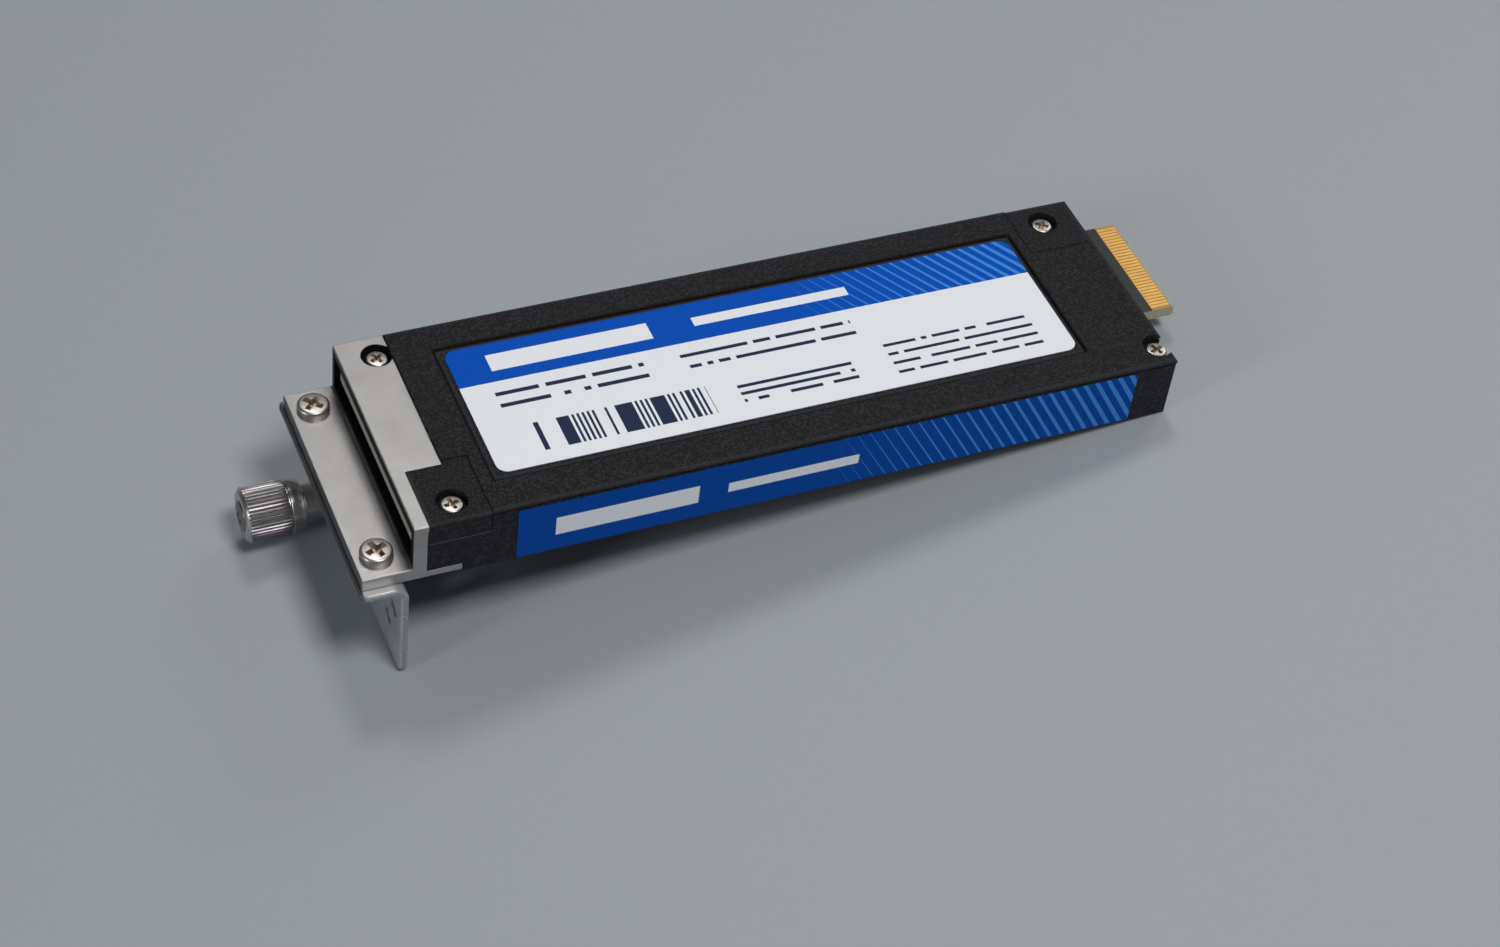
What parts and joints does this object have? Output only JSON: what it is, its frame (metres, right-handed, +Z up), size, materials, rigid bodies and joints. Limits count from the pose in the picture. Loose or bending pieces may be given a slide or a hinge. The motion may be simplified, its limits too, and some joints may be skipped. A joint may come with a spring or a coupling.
{
  "type": "ruler drive module",
  "caption": "Thin ruler-shaped solid-state drive in a black case, with a silver end bracket, a vented face plate, a captive thumbscrew and a gold card edge at the rear.",
  "frame": {"origin": "on the seating face of the face plate, at mid width, level with the thumbscrew axis", "axes": "+X along the drive into the chassis, +Y across the width towards the thumbscrew side, +Z up"},
  "size_m": [0.1267, 0.0362, 0.0247],
  "materials": {
    "housing_black": "fine matte texture",
    "bracket_silver": "fine bead-blasted satin",
    "plate_zinc": "zinc-plated sheet, slight grain",
    "screw_nickel": "nickel plating",
    "thumb_nickel": "polished nickel plating",
    "board_green": "solder resist, bare laminate edges",
    "contact_gold": "gold flash",
    "chip_black": "moulded package",
    "capacitor_amber": "moulded case",
    "capacitor_tan": "fired ceramic",
    "inductor_grey": "pressed ferrite",
    "pad_grey": "soft filled silicone",
    "label_white": "satin printed film",
    "label_blue": "satin printed film",
    "spring_steel": "drawn wire"
  },
  "bodies": {
    "module": {"top_cover": "housing_black", "bottom_tray": "housing_black", "front_bracket": "bracket_silver", "face_plate": "plate_zinc", "cover_screws": "screw_nickel", "flange_screws": "screw_nickel", "circuit_board": "board_green", "contact_pads": "contact_gold", "controller_chip": "chip_black", "working_memory": "chip_black", "upper_flash": "chip_black", "lower_flash": "chip_black", "hold_up_capacitors": "capacitor_amber", "power_inductors": "inductor_grey", "small_capacitors": "capacitor_tan", "upper_thermal_pad": "pad_grey", "lower_thermal_pad": "pad_grey", "top_label": "label_white", "side_label": "label_blue", "screw_ferrule": "thumb_nickel"},
    "plunger": {"return_spring": "spring_steel"},
    "thumbscrew": {"thumb_knob": "thumb_nickel", "captive_screw": "screw_nickel"}
  },
  "joints": [
    {"name": "thumbscrew_push", "type": "slide", "parent": "module", "child": "plunger", "axis": [1, 0, 0], "range_m": [0, 0.0041], "stiffness_N_per_m": 200, "springref_m": -0.003, "deforming": ["return_spring"]},
    {"name": "thumbscrew_turn", "type": "hinge", "parent": "plunger", "child": "thumbscrew", "pos_m": [-0.005, 0.0105, 0], "axis": [1, 0, 0], "continuous": true}
  ]
}
